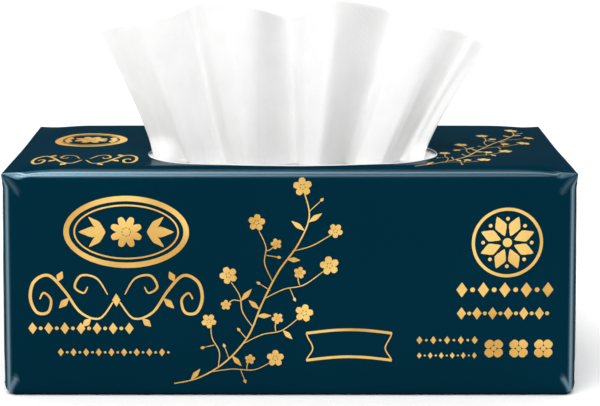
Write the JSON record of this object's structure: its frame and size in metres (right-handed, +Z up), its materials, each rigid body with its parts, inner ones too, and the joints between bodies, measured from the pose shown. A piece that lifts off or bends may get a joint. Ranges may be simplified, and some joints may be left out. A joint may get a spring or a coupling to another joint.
{
  "type": "soft pack of facial tissues",
  "caption": "Film-wrapped soft pack of facial tissues: a rounded oblong block with a long oval mouth torn in its top and one tissue drawn up through it in soft pleats.",
  "frame": {"origin": "on the surface that the pack stands on, in the middle of the pack's length and depth", "axes": "+X along the pack to the right as seen from the front, +Y to the back, +Z up; the printed front is at -Y"},
  "size_m": [0.209, 0.104, 0.1408],
  "materials": {
    "film": "dark teal printed plastic film, glossy",
    "stacked_tissue": "soft white tissue, matt",
    "drawn_tissue": "soft white tissue, matt, faintly embossed"
  },
  "bodies": {
    "root": {"film_wrap": "film", "tissue_stack": "stacked_tissue", "pulled_tissue": "drawn_tissue"}
  },
  "joints": []
}
